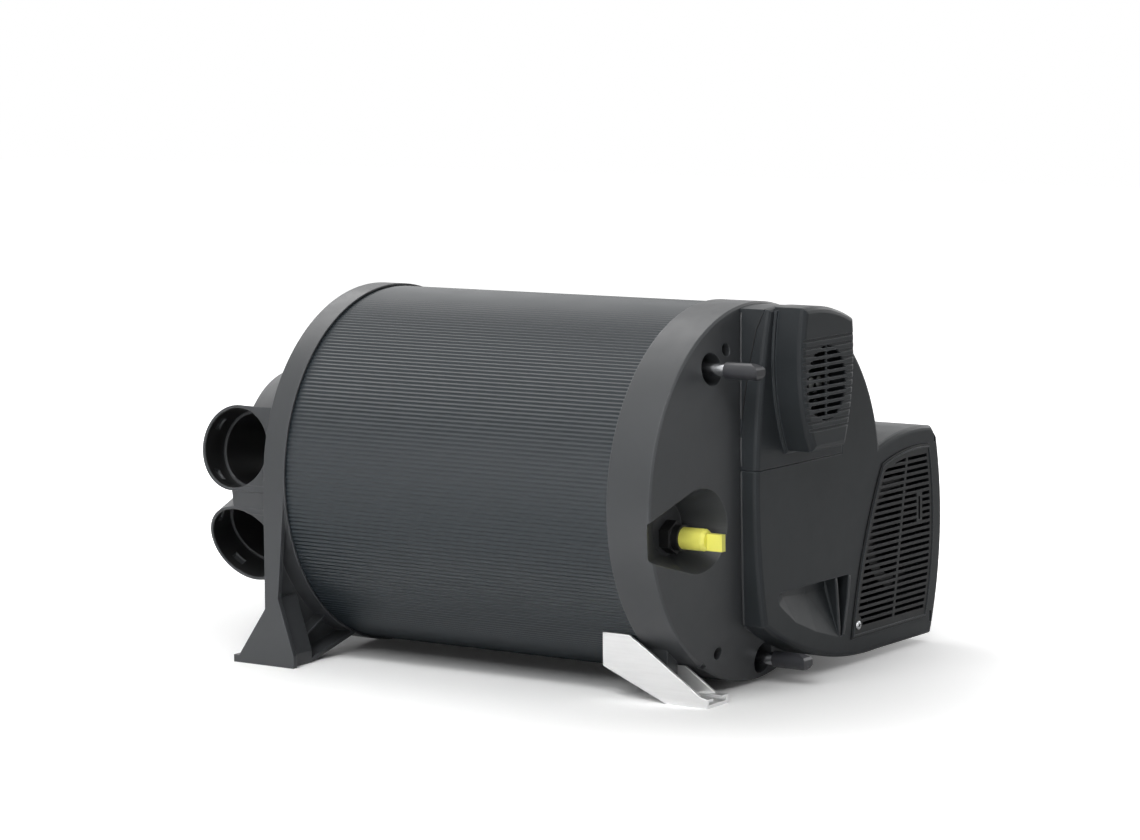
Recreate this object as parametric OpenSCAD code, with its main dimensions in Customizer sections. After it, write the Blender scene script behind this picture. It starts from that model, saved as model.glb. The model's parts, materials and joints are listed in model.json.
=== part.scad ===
// Combined warm-air and water heater for a caravan: a ribbed drum that lies between two end caps,
// with four warm-air outlets at one end and the burner, fan and controls at the other.
// X runs along the drum towards the fan end, Z is up, and the origin lies on the floor midway
// between the two rear foot screws. Inside on_drum() the origin is the drum axis at the jacket's
// rear edge.

/* [Drum] */
// Gap between the end caps and the floor
floor_gap = 2.5; // [2:0.5:15]
// Radius of the jacket over its ribs
jacket_r = 146; // [140:0.5:148]
// Length of jacket that shows between the end caps
jacket_l = 311; // [300:1:340]
// Thickness of the jacket sheet over its ribs
jacket_wall = 1.6; // [1.2:0.1:2]
// Spacing of the ribs around the jacket
rib_pitch = 3.45; // [3:0.05:8]
// Depth of the grooves between the ribs
rib_depth = 0.7; // [0.3:0.1:0.8]
// Free play between nested round pieces
play = 0.25; // [0.1:0.05:0.3]

/* [Rear cap] */
// How far the end caps stand proud of the jacket
ring_lip = 2; // [1.5:0.1:3]
// Width of the rear cap's ring
rear_ring_w = 22; // [18:1:30]
// Thickness of the rear cap's end wall
rear_wall = 5; // [3:0.5:6]
// Width of the rear cap's end wall around the warm-air opening
air_rim = 48; // [44:1:58]
// Thickness of the gaskets at both ends of the jacket
gasket_t = 2; // [1:0.5:3]
// Radial width of the gaskets
gasket_w = 6; // [4:1:8]

/* [Rear legs] */
// Distance from the rear foot screws to the jacket's rear edge
foot_screw_x = 40; // [36:1:46]
// Distance of the rear foot screws from the outer faces of the legs
foot_screw_in = 18; // [14:1:22]
// Radius of the foot screw holes
foot_hole_r = 3.25; // [2.5:0.25:4]
// Thickness of the foot pads
foot_t = 6; // [4:0.5:8]
// Depth of the foot pads
foot_d = 30; // [28:1:40]
// How far the foot pads reach behind the jacket's rear edge
foot_back = 56; // [52:1:62]
// How far the foot pads reach in front of the jacket's rear edge
foot_front = 6; // [4:1:10]
// Thickness of the walls of the legs
leg_wall = 4.5; // [3:0.5:6]
// Height of the narrowest place of the legs
waist_h = 46; // [40:1:60]
// How far the front wall of the legs lies behind the edge of their outer plate
leg_recess = 5; // [3:0.5:7]

/* [Warm-air outlets] */
// Radius of the outlet bores, for ducts of this radius
duct_r = 32.5; // [30:0.5:34]
// Wall around the outlet bores
duct_wall = 2.2; // [1.8:0.1:3]
// Depth of the outlet bores up to the duct stop
duct_depth = 24; // [20:0.5:25]
// Depth of the clip pockets in the outlet bores
clip_depth = 1.2; // [0.8:0.1:1.6]
// How far the duct stop reaches into the bore
duct_stop = 2.5; // [1.5:0.5:4]
// How far the outlet mouths lie inside the outline of the end caps
mouth_in = 7; // [6:0.5:9]
// Distance of the outlet axes behind the jacket's rear edge
outlet_x = 57; // [57:0.5:60]
// Tilt of the upper outlets above the horizontal
upper_tilt = 9.5; // [8:0.5:12]
// Tilt of the lower outlets below the horizontal
lower_tilt = 23.5; // [22:0.5:26]
// How far the air dome reaches behind the jacket's rear edge
dome_back = 113; // [108:1:118]
// Radius of the flat end of the air dome
dome_end_r = 66; // [60:1:72]
// Wall of the air dome
dome_wall = 3; // [2:0.5:4]

/* [Front cap] */
// Width of the front cap's ring
front_ring_w = 39; // [36:1:44]
// How far the front face bulges
face_rise = 14; // [10:1:16]
// Wall of the front cap
cap_wall = 3; // [2.5:0.5:4]
// Length of jacket that is hidden under each cap
tuck = 15; // [12:0.5:15]
// Radius of the openings for the water pipes
water_hole_r = 12.5; // [10:0.5:13]
// Radius of the openings for the cap screws
screw_hole_r = 5; // [4:0.5:6]
// Radius of the gas recess at the front face
recess_r = 33; // [30:1:36]
// Radius of the gas recess at its floor
recess_floor_r = 20; // [19:0.5:24]
// Distance from the ring's front edge back to the floor of the gas recess
recess_depth = 21; // [18:1:24]

/* [Front bracket] */
// Distance of the bracket's outer face from the middle of the heater
bracket_y = 109; // [109:0.5:114]
// Width of the bracket channel
bracket_w = 29; // [27:1:32]
// Sheet thickness of the bracket
bracket_t = 2.5; // [2:0.5:3]
// Gap between the outer flange and the jacket
bracket_gap = 0.5; // [0.3:0.1:4]
// Height of the toe
toe_h = 7; // [5:0.5:9]
// Distance from the jacket's front edge back to the rear end of the bracket
bracket_back = 31; // [26:1:36]
// Distance from the jacket's front edge forward to the tip of the toe
bracket_front = 64; // [60:1:68]

/* [Fan end] */
// How far the housing's face lies in front of the cap ring
housing_out = 28; // [26:0.5:32]
// Wall of the housing
housing_wall = 3; // [2.5:0.5:4]
// Radius of the housing's rounded front edges
edge_r = 4; // [2:0.5:5]
// Depth of the fan side of the housing
fan_depth = 64; // [60:1:66]
// Distance of the fan axis from the jacket, sideways
fan_out = 47; // [46:0.5:48]
// Distance of the fan axis below the drum axis
fan_drop = 55; // [50:1:60]
// Radius of the circulation fan wheel
fan_r = 46; // [40:1:46]
// Length of the circulation fan wheel
fan_w = 28; // [20:1:30]
// Number of blades of the circulation fan wheel
fan_blades = 28; // [16:1:36]
// Thickness of the intake grille
grille_t = 2.6; // [2:0.1:3]
// Spacing of the bars of the intake grille
bar_pitch = 5.2; // [4.5:0.1:7]
// Width of the slots of the intake grille
bar_gap = 2.8; // [2:0.1:3.2]

/* [Electronics cover] */
// How far the raised box stands in front of the housing's face
box_out = 26; // [20:1:30]
// Height of the cover's lower edge above the drum axis
cover_z = 22.5; // [18:0.5:26]
// Side edge of the cover, measured from the drum axis
cover_y = 85; // [78:1:88]
// Wall of the cover's raised box
box_wall = 2.5; // [2:0.5:3]
// Radius of the round vent
vent_r = 29; // [24:1:30]
// Spacing of the louvres
louvre_pitch = 5.8; // [5:0.1:7]
// Height of the grooves that run on from the louvres
groove_h = 2.2; // [1.4:0.1:3]
// Depth of the grooves that run on from the louvres
groove_d = 1.4; // [0.8:0.1:1.8]
// Gap around the cover
cover_gap = 0.5; // [0.3:0.1:0.8]

/* [Connections] */
// Radius of the water pipes
water_pipe_r = 5; // [4:0.25:6]
// How far the water pipes stand out of the cap ring's front edge
water_pipe_out = 29; // [25:1:32]
// Radius of the caps on the water pipes
water_cap_r = 6.5; // [6:0.25:8]
// Length of the caps on the water pipes
water_cap_l = 30; // [27:1:36]
// Radius of the gas pipe
gas_pipe_r = 5; // [4:0.25:6]
// Radius of the cap on the gas pipe
gas_cap_r = 8.5; // [7:0.25:10]
// Length of the round part of the gas cap
gas_cap_l = 22; // [20:1:30]
// Length of the tab of the gas cap
gas_tab_l = 13.5; // [10:0.5:20]
// Slack of the pull-off caps on their pipes
cap_slack = 0.35; // [0.2:0.05:0.5]
// Radius of the exhaust tube
exhaust_r = 22; // [20:0.5:24]
// Radius of the combustion-air tube around the exhaust tube
intake_r = 32; // [30:0.5:34]
// Wall of the flue tubes
flue_wall = 1.5; // [1:0.1:2]
// Distance of the exhaust mouth from the drum axis
flue_reach = 196; // [185:1:210]

/* [Inside] */
// Radial room for the foam between the tank and the jacket
foam_t = 16; // [14:0.5:20]
// Inner radius of the water tank
tank_in_r = 70; // [66:0.5:74]
// Length of the water tank
tank_l = 198; // [180:1:200]
// Wall of the water tank
tank_wall = 1.5; // [1:0.1:2]
// Number of fins on the heat exchanger
fin_count = 36; // [24:2:40]
// Radius of the heat exchanger's core
core_r = 48; // [44:1:52]
// Wall of the heat exchanger's core
core_wall = 8; // [5:1:10]
// Radius of the burner tube
burner_r = 28; // [24:1:32]
// Radius of the combustion blower's housing
blower_r = 58; // [50:1:62]
// Length of the combustion blower's housing
blower_w = 28; // [24:1:29]
// Radius of the fan shafts
shaft_r = 3; // [2:0.5:4]
// Running clearance of the fan shafts
run_gap = 0.05; // [0.02:0.01:0.09]

/* [Hidden] */
$fn = 120;
fine = 360;
eps = 0.01;

jacket_in_r = jacket_r - jacket_wall;
rib_count = round(2 * PI * jacket_r / rib_pitch);
ring_r = jacket_r + ring_lip;
axis_h = ring_r + floor_gap;
floor_z = -axis_h;
tank_r = jacket_r - foam_t;
air_hole_r = ring_r - air_rim;
lip_r = jacket_r + play;
gasket_in_r = jacket_r - gasket_w;

// Stations along the drum
rear_x = -rear_ring_w;
rear_seat_x = rear_x + rear_wall;
jacket_x0 = rear_seat_x + gasket_t;
ring_x0 = jacket_l;
ring_x1 = jacket_l + front_ring_w;
jacket_x1 = jacket_l + tuck;
front_seat_x = jacket_x1 + gasket_t;
face_r = ring_r - 1.5;
tip_x = ring_x1 + face_rise;
housing_x = ring_x1 + housing_out;
box_x = housing_x + box_out;
fan_back_x = housing_x - fan_depth - 2;
tank_x0 = 30;
tank_x1 = tank_x0 + tank_l;

// Legs
leg_y = ring_r;
pad_top = floor_z + foot_t;
waist_z = floor_z + waist_h;
arch_y = 60;
arch_z = -sqrt(ring_r ^ 2 - arch_y ^ 2);
foot_in_y = leg_y - foot_d;
foot_screw_y = leg_y - foot_screw_in;

// Air dome: radius and station of the corners of its outline
dome_root_r = air_hole_r + dome_wall;
dome_flange_r = dome_root_r + 21;
dome_flange_t = 3.5;
dome_shoulder = 6;
outlet_r = duct_r + duct_wall;
mouth_r = ring_r - mouth_in;
distributor_screw_r = dome_flange_r - 4;
seam = 0.3;
distributor_screw_a = [-145, -40, 0, 40, 145, 180];

// Front face, a shallow dome
function face_x(r) = ring_x1 + face_rise * (1 - (min(r, face_r) / face_r) ^ 2);
face_steps = 8;

// Places on the front face: a distance inside the ring's outline and a turn about the drum axis
function on_face(inset, turn) = (ring_r - inset) * [cos(turn), sin(turn)];
hot_at = on_face(25.4, 123.7);
cold_at = on_face(16.3, -87.2);
gas_at = on_face(51.8, -165.2);
recess_at = on_face(53, -168.4);
cap_screw_at = [on_face(23.6, 67.6), on_face(23.6, 112.4), on_face(16.1, -63.4), on_face(16.1, -116.6)];
ring_notch_a = -30.9;
collar_wall = 2.5;
collar_x = ring_x1 - 20;
grommet_t = 6;
screw_floor_x = ring_x1 - 17;
board_post_at = [[-8, 42], [68, 42], [-4, ring_r - 38], [52, ring_r - 30]];
board_post_r = 4;
board_x = housing_x - 7;
board_t = 1.6;
board_at = [-14, 35];
board_w = 88;
board_h = ring_r - 29 - board_at[1];

// Bracket channel: its sloping floor runs from the rear end down to the toe
bracket_x0 = jacket_l - bracket_back;
bracket_x1 = jacket_l + bracket_front;
bracket_heel = bracket_x1 - 37;
bracket_rise = 24;
bracket_slope = atan(bracket_rise / (bracket_heel - bracket_x0));
bracket_screw_x = ring_x0 + 13;
bracket_hole_x = bracket_x1 - 20;
function channel_z(x) = floor_z + bracket_rise * (bracket_heel - x) / (bracket_heel - bracket_x0);
channel_lift = bracket_t / cos(bracket_slope);
bracket_h = axis_h - sqrt(jacket_r ^ 2 - (bracket_y - bracket_t) ^ 2) - bracket_gap;
shoe_x0 = ring_x0 + 5;
shoe_x1 = bracket_heel - 7;
shoe_w = 14;
shoe_y1 = -bracket_y + bracket_w - bracket_t - play;

// Housing outline: arcs given by the place of their centre and their radius, and a flat underside
fan_y = jacket_r + fan_out;
housing_low = -ring_r + 3.8;
flat_y = fan_y - 65;
left_arc = [433, 5, 475];
bottom_arc = [flat_y, housing_low + 304.7, 305];
right_arc = [fan_y - 221, -46.5, 275];
top_arc = [fan_y + 12, -178.5, 209];
upper_corner_arc = [fan_y - 93, -100, 183.3];
lower_corner_arc = [fan_y - 113, housing_low + 164.2, 222.5];
grille_arc = [fan_y + 290, -192, 390];
grille_margin = 15;
drum_arc = [0, 0, ring_r - 2];
grille_seat = 1.8;
grille_screw_at = [fan_y - 85, housing_low + 25.2];
clip_slot_at = [[fan_y + 40, 15], [fan_y + 33, -134]];
clip_slot = [2.6, 9.5];
vent_at = [19.5, ring_r - 62];
louvre_rows = 13;
box_arcs = [[132, 105, 150], [-138, 108, 200]];
louvre_slot_h = 3.4;
vent_rib = 2;
box_low = 34;
box_edge_r = 5;
box_foot = 2.4;
box_foot_t = 2;

// Flue, water and gas lines
flue_x = jacket_l - 50;
flue_collar_r = intake_r + 1.5;
flue_seat_y = ring_r + 4;
flue_boss_r = exhaust_r + 4;
flue_flange_r = intake_r + 6;
hot_cap_x = ring_x1 + 18;
cold_cap_x = ring_x1 + 14;
water_pipe_x1 = ring_x1 + water_pipe_out;
recess_floor_x = ring_x1 - recess_depth;
gas_nut_l = 15.5;
gas_hex_l = 9;
gas_cap_x = recess_floor_x + gas_nut_l;
gas_pipe_x1 = gas_cap_x + 15;
gas_valve_x1 = tank_x1 + 42;
fitting_l = 17;
cold_port_at = [cold_at[0], -(tank_r - 12)];

// Burner and blower
core_x1 = jacket_l + 1;
burner_flange_t = 4;
blower_x = core_x1 + burner_flange_t;
blower_x1 = blower_x + blower_w;
blower_wall = 2;
fin_x1 = tank_x1 - 8;
insulation_x0 = jacket_x0 + 2;
insulation_x1 = tank_x1;

// Circulation fan
fan_motor_r = 22;
fan_motor_l = 19;
fan_motor_x = fan_back_x + housing_wall;
fan_wheel_x = fan_motor_x + fan_motor_l + 1.5;
shaft_depth = 12;
fan_foot_y = 150;
fan_foot_w = 50;
fan_foot_l = 22;
fan_foot_h = axis_h + housing_low + 1;

module on_drum() {
    translate([foot_screw_x, 0, axis_h]) children();
}

// An outline in Y and Z, extruded along X
module along_x(x, h) {
    translate([x, 0, 0]) rotate([90, 0, 90]) linear_extrude(h) children();
}

// An outline in X and Z, extruded along Y
module along_y(y, h) {
    translate([0, y + h, 0]) rotate([90, 0, 0]) linear_extrude(h) children();
}

module rod_x(x, h, r, at = [0, 0]) {
    translate([x, at[0], at[1]]) rotate([0, 90, 0]) cylinder(h = h, r = r);
}

module rod_y(y, h, r, at = [0, 0]) {
    translate([at[0], y + h, at[1]]) rotate([90, 0, 0]) cylinder(h = h, r = r);
}

module tube_x(x, h, r, bore, at = [0, 0]) {
    difference() {
        rod_x(x, h, r, at);
        rod_x(x - 1, h + 2, bore, at);
    }
}

// A profile of radius and station, turned about the drum axis
module turned_x() {
    rotate([0, 90, 0]) rotate_extrude() children();
}

module both_sides() {
    children();
    mirror([0, 1, 0]) children();
}

module rib_outline() {
    polygon([for (i = [0 : 2 * rib_count - 1])
        let (a = 180 * i / rib_count, r = jacket_r - (i % 2) * rib_depth)
        [r * cos(a), r * sin(a)]]);
}

module flue_hole(r) {
    rod_y(0, flue_reach, r, [flue_x, 0]);
}

module jacket() color("#3c4143") on_drum()
    difference() {
        along_x(jacket_x0, jacket_x1 - jacket_x0)
            difference() {
                rib_outline();
                circle(r = jacket_in_r, $fn = fine);
            }
        flue_hole(flue_collar_r + play);
    }

// One half of the foam shell between the tank and the jacket
module insulation_half(side) {
    difference() {
        tube_x(insulation_x0, insulation_x1 - insulation_x0, jacket_in_r - play, tank_r + play);
        translate([insulation_x0 - 1, -jacket_r, side > 0 ? -2 * jacket_r + play : -play])
            cube([insulation_x1 - insulation_x0 + 2, 2 * jacket_r, 2 * jacket_r]);
        flue_hole(flue_collar_r + play);
    }
}

module insulation_upper() color("#d8d6cf") on_drum() insulation_half(1);

module insulation_lower() color("#d8d6cf") on_drum() insulation_half(-1);

module water_tank() color("#b9bdc0") on_drum()
    difference() {
        tube_x(tank_x0, tank_l, tank_r, tank_in_r);
        tube_x(tank_x0 + tank_wall, tank_l - 2 * tank_wall, tank_r - tank_wall, tank_in_r + tank_wall);
        for (at = [hot_at, cold_port_at])
            rod_x(tank_x1 - 2 * tank_wall, 3 * tank_wall, water_pipe_r - 1, at);
    }

module heat_exchanger() color("#a9aca9") on_drum()
    difference() {
        union() {
            rod_x(tank_x0 + 4, core_x1 - tank_x0 - 4, core_r);
            for (i = [0 : fin_count - 1])
                rotate([360 * i / fin_count, 0, 0])
                    translate([tank_x0 + 8, -1, core_r - 2])
                        cube([fin_x1 - tank_x0 - 8, 2, tank_in_r - play - core_r + 1.8]);
            rod_y(0, core_r + 14, flue_boss_r, [flue_x, 0]);
        }
        rod_x(tank_x0 + 10, core_x1, core_r - core_wall);
        rod_y(0, flue_reach, exhaust_r + run_gap, [flue_x, 0]);
    }

module burner_tube() color("#8d8f90") on_drum()
    difference() {
        union() {
            rod_x(core_x1, burner_flange_t, blower_r);
            rod_x(tank_x1 - 60, core_x1 - tank_x1 + 60 + 1, burner_r);
        }
        rod_x(tank_x1 - 57, core_x1, burner_r - 2);
        rod_x(core_x1 - 1, burner_flange_t + 2, 4 + run_gap, [0, -burner_r - 6]);
        for (i = [0 : 11])
            rotate([30 * i, 0, 0]) translate([tank_x1 - 50, -1.5, burner_r - 4]) cube([35, 3, 5]);
    }

module ignition_electrode() color("#e6e2d8") on_drum() {
    rod_x(core_x1 - 14, burner_flange_t + 14, 4, [0, -burner_r - 6]);
    rod_x(core_x1 - 58, 45, 1.2, [0, -burner_r - 6]);
}

module blower_housing() color("#9aa0a2") on_drum()
    difference() {
        rod_x(blower_x, blower_w, blower_r);
        rod_x(blower_x + blower_wall, blower_w - 2 * blower_wall, blower_r - blower_wall);
        rod_x(blower_x - 1, blower_wall + 2, burner_r - 2);
        rod_x(blower_x1 - blower_wall - 1, blower_wall + 2, shaft_r + 4);
    }

// A fan wheel: a disc with a shaft towards the motor and a cage of blades away from it
module cage_wheel(r, w, blades, shaft_l) {
    disc_t = 2;
    blade_l = r * 0.22;
    rod_x(-shaft_l, shaft_l + 8, shaft_r);
    rod_x(0, disc_t, r);
    rod_x(0, 8, shaft_r + 4);
    for (i = [0 : blades - 1])
        rotate([360 * i / blades, 0, 0])
            translate([disc_t - eps, r - blade_l, 0])
                rotate([30, 0, 0])
                    translate([0, 0, -0.5])
                        cube([w - disc_t - 2 + 2 * eps, blade_l * 0.8, 1]);
    tube_x(w - 2, 2, r, r - blade_l);
}

module blower_wheel() color("#5d6163") on_drum()
    translate([blower_x1 - blower_wall - 1.5, 0, 0])
        mirror([1, 0, 0])
            cage_wheel(blower_r - 10, blower_w - 2 * blower_wall - 3, 20, blower_wall + 1.5 + shaft_depth);

module fan_motor_body(x, r, l, tail) {
    difference() {
        union() {
            rod_x(x, l, r);
            rod_x(x, 2.5, r + 3);
        }
        rod_x(x + (tail ? -1 : l - shaft_depth - 1), shaft_depth + 2, shaft_r + run_gap);
    }
}

module blower_motor() color("#2b2d2f") on_drum()
    fan_motor_body(blower_x1, 22, 14, true);

module gas_valve() color("#b49b57") on_drum()
    difference() {
        union() {
            translate([tank_x1 + 14, gas_at[0] - 18, gas_at[1] - 18])
                cube([gas_valve_x1 - tank_x1 - 14, 36, 36]);
            rod_x(tank_x1, 15, 12, gas_at);
        }
        rod_x(gas_valve_x1 - 10, 12, gas_pipe_r + run_gap, gas_at);
    }

module gas_pipe() color("#c9cbcc") on_drum()
    tube_x(gas_valve_x1 - 10, gas_pipe_x1 - gas_valve_x1 + 10, gas_pipe_r, gas_pipe_r - 1, gas_at);

module gas_nut() color("#141516") on_drum()
    difference() {
        union() {
            rod_x(recess_floor_x, gas_hex_l, 13, gas_at, $fn = 6);
            rod_x(recess_floor_x, gas_nut_l, gas_cap_r + 1.5, gas_at);
        }
        rod_x(recess_floor_x - 1, gas_nut_l + 2, gas_pipe_r + run_gap, gas_at);
    }

module gas_cap() color("#f0ea5a") on_drum() {
    nose_l = 3;
    tab_t = 5;
    tab_h = 13;
    difference() {
        union() {
            rod_x(gas_cap_x, gas_cap_l - nose_l, gas_cap_r, gas_at);
            translate([gas_cap_x + gas_cap_l - nose_l, gas_at[0], gas_at[1]])
                rotate([0, 90, 0])
                    cylinder(h = nose_l, r1 = gas_cap_r, r2 = gas_cap_r - 2);
            translate([gas_cap_x + gas_cap_l - nose_l, gas_at[0] - tab_t / 2, gas_at[1] - gas_cap_r + 0.8])
                cube([gas_tab_l + nose_l, tab_t, tab_h]);
        }
        rod_x(gas_cap_x - 1, gas_pipe_x1 - gas_cap_x + 2, gas_pipe_r + cap_slack, gas_at);
    }
}

module hot_fitting() color("#b49b57") on_drum()
    difference() {
        rod_x(tank_x1, fitting_l, water_pipe_r + 3, hot_at);
        rod_x(tank_x1 + 5, fitting_l, water_pipe_r + run_gap, hot_at);
        rod_x(tank_x1 - 1, fitting_l, water_pipe_r - 1, hot_at);
    }

module cold_fitting() color("#b49b57") on_drum()
    difference() {
        hull() {
            rod_x(tank_x1, fitting_l, water_pipe_r + 3, cold_at, $fn = 32);
            rod_x(tank_x1, fitting_l, water_pipe_r + 3, cold_port_at, $fn = 32);
        }
        rod_x(tank_x1 + 5, fitting_l, water_pipe_r + run_gap, cold_at);
        rod_x(tank_x1 - 1, 8, water_pipe_r - 1, cold_port_at);
    }

module water_pipe(at) {
    tube_x(tank_x1 + 5, water_pipe_x1 - tank_x1 - 5, water_pipe_r, water_pipe_r - 1, at);
}

module hot_pipe() color("#d5d8da") on_drum() water_pipe(hot_at);

module cold_pipe() color("#d5d8da") on_drum() water_pipe(cold_at);

module grommet(at) {
    tube_x(collar_x, grommet_t, water_hole_r - run_gap, water_pipe_r + run_gap, at);
}

module hot_grommet() color("#121314") on_drum() grommet(hot_at);

module cold_grommet() color("#121314") on_drum() grommet(cold_at);

// A pull-off cap: a round socket whose blunt end slopes down at the top
module water_cap(at, x0) {
    slope_x = x0 + water_cap_l * 0.66;
    end_x = x0 + water_cap_l;
    difference() {
        intersection() {
            rod_x(x0, water_cap_l, water_cap_r, at);
            translate([0, 0, at[1]])
                along_y(at[0] - 2 * water_cap_r, 4 * water_cap_r)
                    polygon([
                        [x0, -water_cap_r - 1], [end_x - 4, -water_cap_r - 1], [end_x - 1, -water_cap_r * 0.75],
                        [end_x, -water_cap_r * 0.4], [end_x, water_cap_r * 0.3], [end_x - 1.5, water_cap_r * 0.6],
                        [slope_x, water_cap_r + 1], [x0, water_cap_r + 1]
                    ]);
        }
        rod_x(x0 - 1, water_pipe_x1 - x0 + 1.5, water_pipe_r + cap_slack, at);
    }
}

module hot_cap() color("#6a6b70") on_drum() water_cap(hot_at, hot_cap_x);

module cold_cap() color("#6a6b70") on_drum() water_cap(cold_at, cold_cap_x);

module temperature_sensor() color("#c7b27c") on_drum()
    rod_x(tank_x1, 14, 6, [85, 60]);

module overheat_switch() color("#2f3133") on_drum()
    rod_x(tank_x1, 9, 10, [-25, -95]);

// One rear leg on the camera side, below the ring
module leg() {
    waist_back = rear_x - 0.5;
    waist_front = rear_x + 13;
    toe_x = -foot_back;
    panel_x = foot_front - leg_recess;
    face = [
        [0, 0], [rear_x, 0], [rear_x, waist_z + 50], [waist_back, waist_z], [toe_x + 5.5, pad_top],
        [toe_x, pad_top], [toe_x, floor_z], [foot_front, floor_z], [foot_front, floor_z + 10],
        [waist_front, waist_z + 9], [waist_front + 6, waist_z + 74]
    ];
    difference() {
        union() {
            along_y(-leg_y, leg_wall) polygon(face);
            along_y(-leg_y, foot_d)
                polygon([
                    [toe_x, floor_z], [panel_x, floor_z], [panel_x, floor_z + 10],
                    [waist_front - leg_recess, waist_z + 9], [waist_front - leg_recess - leg_wall, waist_z + 9],
                    [panel_x - leg_wall, floor_z + 10], [panel_x - leg_wall, pad_top], [toe_x, pad_top]
                ]);
            along_x(rear_x, rear_wall) leg_web();
            along_x(rear_x, rear_ring_w) arch_edge();
            along_x(rear_x, rear_ring_w - 7)
                polygon([
                    [-foot_in_y, floor_z + 20], [-foot_in_y + 3, floor_z + 20],
                    [-arch_y - 22, arch_z + 22], [-arch_y - 25, arch_z + 22]
                ]);
        }
        rod_x(rear_x - 1, rear_ring_w + 20, ring_r - 1);
        translate([-foot_screw_x, -foot_screw_y, floor_z - 1]) cylinder(h = foot_t + 2, r = foot_hole_r);
    }
}

module leg_web() {
    polygon([
        [-leg_y, 0], [-leg_y, floor_z], [-foot_in_y, floor_z], [-arch_y, arch_z], [-arch_y, arch_z + 4],
        [-foot_in_y, 0]
    ]);
}

module arch_edge() {
    polygon([
        [-foot_in_y - 3, floor_z], [-foot_in_y, floor_z], [-arch_y, arch_z], [-arch_y, arch_z + 3],
        [-foot_in_y - 3, floor_z + 3]
    ]);
}

module rear_cap() color("#58595a") on_drum()
    difference() {
        union() {
            turned_x()
                polygon([
                    [air_hole_r, rear_x], [ring_r - 1, rear_x], [ring_r, rear_x + 1], [ring_r, 0],
                    [lip_r, 0], [lip_r, rear_seat_x], [air_hole_r, rear_seat_x]
                ]);
            both_sides() leg();
        }
        for (a = distributor_screw_a)
            rotate([a, 0, 0]) rod_x(rear_x - 1, rear_wall + 2, 2 + run_gap, [0, distributor_screw_r]);
    }

module rear_gasket() color("#0f1011") on_drum()
    tube_x(rear_seat_x, gasket_t, jacket_r, gasket_in_r);

module front_gasket() color("#0f1011") on_drum()
    tube_x(jacket_x1, gasket_t, jacket_r, gasket_in_r);

// The dome's outline, shrunk by a wall
module dome_profile(w, base_x) {
    polygon([
        [0, base_x], [dome_root_r - w, base_x], [dome_root_r - w - 4, rear_x - 12],
        [dome_end_r + dome_shoulder - w, -dome_back + dome_shoulder + w * 0.6],
        [dome_end_r - w, -dome_back + w], [0, -dome_back + w]
    ]);
}

// One warm-air outlet on the camera side, with a flat-sided root that stops short of the rear cap
module outlet_block(gap) {
    along_y(-mouth_r, mouth_r - dome_end_r) {
        translate([-outlet_x, 0]) circle(r = outlet_r);
        translate([-outlet_x, -outlet_r + gap]) square([outlet_x + rear_x - gap, 2 * (outlet_r - gap)]);
    }
}

module outlet_bore() {
    rod_y(-mouth_r - 1, duct_depth + 1, duct_r, [-outlet_x, 0]);
    rod_y(-mouth_r, mouth_r - 40, duct_r - duct_stop, [-outlet_x, 0]);
    for (a = [135, 215])
        translate([-outlet_x, -mouth_r + 7, 0])
            rotate([0, a, 0])
                translate([duct_r - 3, 0, -5])
                    cube([3 + clip_depth, 6, 10]);
}

module at_outlets() {
    both_sides() {
        rotate([-upper_tilt, 0, 0]) children();
        rotate([lower_tilt, 0, 0]) children();
    }
}

module outlet_web() {
    lean = (upper_tilt - lower_tilt) / 2;
    rotate([-lean, 0, 0])
        translate([-outlet_x - 1, -mouth_r - 3, -12])
            cube([outlet_x + rear_x + 1 - 3 * seam, 6, 24]);
}

module air_distributor() color("#4a4b4d") on_drum()
    difference() {
        union() {
            turned_x() dome_profile(0, rear_x);
            rod_x(rear_x - dome_flange_t, dome_flange_t, dome_flange_r);
            both_sides() {
                rotate([-upper_tilt, 0, 0]) outlet_block(seam);
                rotate([lower_tilt, 0, 0]) outlet_block(2 * seam);
                outlet_web();
            }
        }
        turned_x() dome_profile(dome_wall, rear_x + 1);
        at_outlets() outlet_bore();
        for (a = distributor_screw_a)
            rotate([a, 0, 0])
                rod_x(rear_x - dome_flange_t - 1, dome_flange_t + 2, 2 + run_gap, [0, distributor_screw_r]);
    }

module distributor_screws() color("#8f9496") on_drum()
    for (a = distributor_screw_a)
        rotate([a, 0, 0]) {
            rod_x(rear_x - dome_flange_t, dome_flange_t + rear_wall + 3, 2, [0, distributor_screw_r]);
            rod_x(rear_x - dome_flange_t - 2.5, 2.5, 4, [0, distributor_screw_r]);
        }

// The front cap as a closed form, grown by a gap or shrunk by a wall
module cap_form(grow, x0) {
    turned_x()
        polygon(concat(
            [[0, x0], [ring_r + grow, x0], [ring_r + grow, ring_x1 - 1.5 + grow]],
            [for (i = [0 : face_steps - 1])
                let (r = face_r * (1 - i / face_steps))
                [r + grow, face_x(r) + grow]],
            [[0, tip_x + grow]]
        ));
}

// The recess for the gas connection, or with a wall around it: a scoop that opens towards the ring
module recess_form(grow) {
    slope = (recess_r - recess_floor_r) / (face_x(norm(recess_at)) - recess_floor_x);
    mouth_x = tip_x + 6;
    edge_up = 12;
    edge_down = 16;
    hull() {
        rod_x(recess_floor_x - grow, 1, recess_floor_r + grow, recess_at, $fn = 64);
        rod_x(mouth_x, 1, recess_floor_r + grow + slope * (mouth_x - recess_floor_x), recess_at, $fn = 64);
        translate([ring_x1 - 2 - grow, -ring_r - 1, recess_at[1] - edge_down - grow])
            cube([8, 1, edge_up + edge_down + 2 * grow]);
    }
}

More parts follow.
